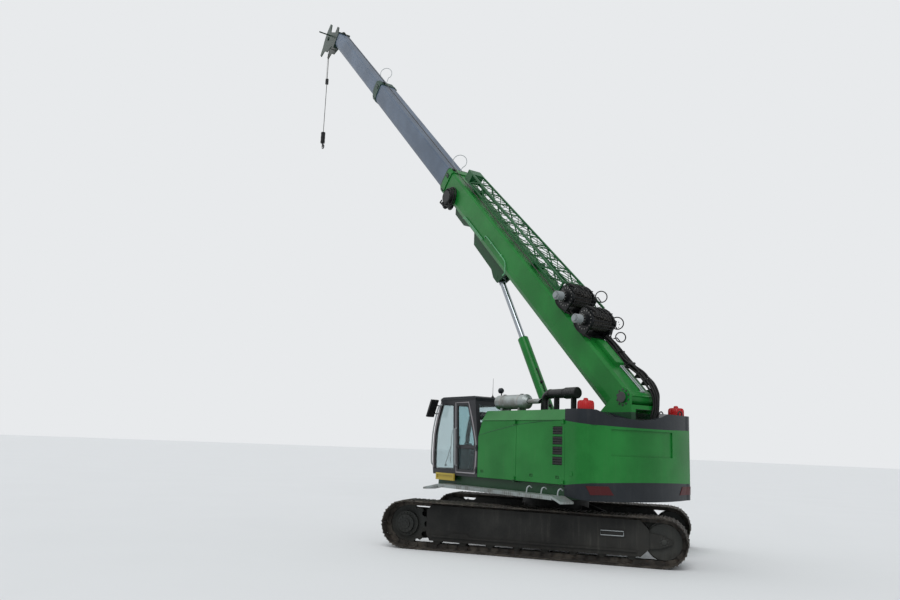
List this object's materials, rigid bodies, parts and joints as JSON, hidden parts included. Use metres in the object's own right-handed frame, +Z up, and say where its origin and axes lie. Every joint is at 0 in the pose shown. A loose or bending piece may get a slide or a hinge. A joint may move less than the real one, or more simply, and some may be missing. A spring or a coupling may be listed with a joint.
{
  "type": "telescopic crawler crane",
  "caption": "Crane on two crawler tracks with a turning upper machine, cab and a box boom that telescopes and luffs.",
  "frame": {"origin": "on the ground under the slewing axis", "axes": "+X forward along the boom, +Y to the machine's left, +Z up"},
  "size_m": [17.1104, 6.788, 17.7242],
  "materials": {
    "dark_frame_paint": "satin",
    "track_steel": "worn",
    "dark_green_paint": "satin",
    "green_paint": "satin",
    "anthracite_paint": "satin",
    "yellow_paint": "satin",
    "red_plastic": "satin",
    "cast_metal": "rough",
    "muffler_steel": "satin",
    "walkway_aluminium": "satin",
    "grey_paint": "satin",
    "glass": "clear",
    "black_plastic": "matte",
    "rod_chrome": "polished",
    "boom_grey_paint": "satin",
    "drum_steel": "satin",
    "rope_steel": "satin"
  },
  "bodies": {
    "carbody": {"carbody": "dark_frame_paint", "slew_ring": "dark_frame_paint"},
    "left_crawler": {"left_side_frame": "dark_frame_paint", "left_track": "track_steel", "left_wheels": "track_steel"},
    "right_crawler": {"right_side_frame": "dark_frame_paint", "right_track": "track_steel", "right_wheels": "track_steel"},
    "upper": {"turntable_frame": "dark_green_paint", "counterweight": "green_paint", "tail_bands": "anthracite_paint", "marker_covers": "red_plastic", "left_housing": "green_paint", "engine_block": "cast_metal", "muffler": "muffler_steel", "air_cleaner": "black_plastic", "walkway": "walkway_aluminium", "right_housing": "green_paint", "tank": "green_paint", "cab_shell": "grey_paint", "cab_roof": "anthracite_paint", "cab_glass": "glass", "operator_station": "black_plastic", "cab_step": "yellow_paint", "cab_mirror": "black_plastic"},
    "cab_door": {"cab_door": "grey_paint", "cab_door_glass": "glass"},
    "left_front_door": {"left_front_door": "green_paint"},
    "left_rear_door": {"left_rear_door": "green_paint"},
    "right_front_door": {"right_front_door": "green_paint"},
    "right_rear_door": {"right_rear_door": "green_paint"},
    "boom_base": {"boom_base": "green_paint", "winch_frame": "anthracite_paint", "stowed_jib": "green_paint"},
    "boom_mid": {"boom_mid": "boom_grey_paint"},
    "boom_tip": {"boom_tip": "boom_grey_paint", "boom_head": "anthracite_paint"},
    "head_sheaves": {"head_sheaves": "black_plastic"},
    "hoist_line": {"hoist_rope": "rope_steel", "limit_weight": "black_plastic"},
    "hook": {"hook": "drum_steel"},
    "main_drum": {"main_drum": "drum_steel"},
    "auxiliary_drum": {"auxiliary_drum": "drum_steel"},
    "cylinder_rod": {"luffing_rod": "rod_chrome"},
    "cylinder_barrel": {"luffing_barrel": "green_paint"}
  },
  "joints": [
    {"name": "slew", "type": "hinge", "parent": "carbody", "child": "upper", "pos_m": [0, 0, 1], "axis": [0, 0, 1], "continuous": true},
    {"name": "left_gauge", "type": "slide", "parent": "carbody", "child": "left_crawler", "axis": [-0.6198, 0.7848, 0], "range_m": [-0.5, 0]},
    {"name": "right_gauge", "type": "slide", "parent": "carbody", "child": "right_crawler", "axis": [0.6198, -0.7848, 0], "range_m": [-0.5, 0]},
    {"name": "cab_door_hinge", "type": "hinge", "parent": "upper", "child": "cab_door", "pos_m": [0.815, 1.515, 1.4], "axis": [0, 0, 1], "range_deg": [0, 150]},
    {"name": "left_front_door_hinge", "type": "hinge", "parent": "upper", "child": "left_front_door", "pos_m": [-0.455, 1.515, 1.4], "axis": [0, 0, 1], "range_deg": [0, 100]},
    {"name": "left_rear_door_hinge", "type": "hinge", "parent": "upper", "child": "left_rear_door", "pos_m": [-1.86, 1.515, 1.4], "axis": [0, 0, 1], "range_deg": [0, 100]},
    {"name": "right_front_door_hinge", "type": "hinge", "parent": "upper", "child": "right_front_door", "pos_m": [-0.455, -1.515, 1.4], "axis": [0, 0, -1], "range_deg": [0, 100]},
    {"name": "right_rear_door_hinge", "type": "hinge", "parent": "upper", "child": "right_rear_door", "pos_m": [-1.86, -1.515, 1.4], "axis": [0, 0, -1], "range_deg": [0, 100]},
    {"name": "boom_luff", "type": "hinge", "parent": "upper", "child": "boom_base", "pos_m": [-2.25, 0, 3.02], "axis": [0, -1, 0], "range_deg": [-45.1, 35.9]},
    {"name": "mid_section_slide", "type": "slide", "parent": "boom_base", "child": "boom_mid", "axis": [0.7181, 0, 0.6959], "range_m": [-5.8, 1.9]},
    {"name": "outer_section_slide", "type": "slide", "parent": "boom_mid", "child": "boom_tip", "axis": [0.7181, 0, 0.6959], "range_m": [-4.41, 1.45]},
    {"name": "head_sheave_spin", "type": "hinge", "parent": "boom_tip", "child": "head_sheaves", "pos_m": [13.10287, 0, 17.18082], "axis": [0, -1, 0], "continuous": true},
    {"name": "line_hang", "type": "hinge", "parent": "boom_tip", "child": "hoist_line", "pos_m": [13.10287, 0, 17.18082], "axis": [0, -1, 0], "range_deg": [-36, 45.2]},
    {"name": "hoist", "type": "slide", "parent": "hoist_line", "child": "hook", "axis": [0, 0, -1], "range_m": [-1.8, 6], "deforming": ["hoist_rope"]},
    {"name": "main_drum_spin", "type": "hinge", "parent": "boom_base", "child": "main_drum", "pos_m": [-1.16532, 0, 4.63092], "axis": [0, -1, 0], "continuous": true},
    {"name": "auxiliary_drum_spin", "type": "hinge", "parent": "boom_base", "child": "auxiliary_drum", "pos_m": [-0.59082, 0, 5.18765], "axis": [0, -1, 0], "continuous": true},
    {"name": "rod_eye", "type": "hinge", "parent": "boom_base", "child": "cylinder_rod", "pos_m": [2.087, 0, 6.06706], "axis": [0, -1, 0], "range_deg": [-2.75, 2.2]},
    {"name": "cylinder_stroke", "type": "slide", "parent": "cylinder_rod", "child": "cylinder_barrel", "axis": [-0.4934, 0, -0.8698], "range_m": [-1.58, 1.28]}
  ],
  "couplings": [
    {"joint": "outer_section_slide", "follows": "mid_section_slide", "ratio": 0.76},
    {"joint": "rod_eye", "follows": "boom_luff", "ratio": 0.06},
    {"joint": "cylinder_stroke", "follows": "boom_luff", "m_per_rad": 2},
    {"joint": "line_hang", "follows": "boom_luff", "ratio": -1}
  ]
}
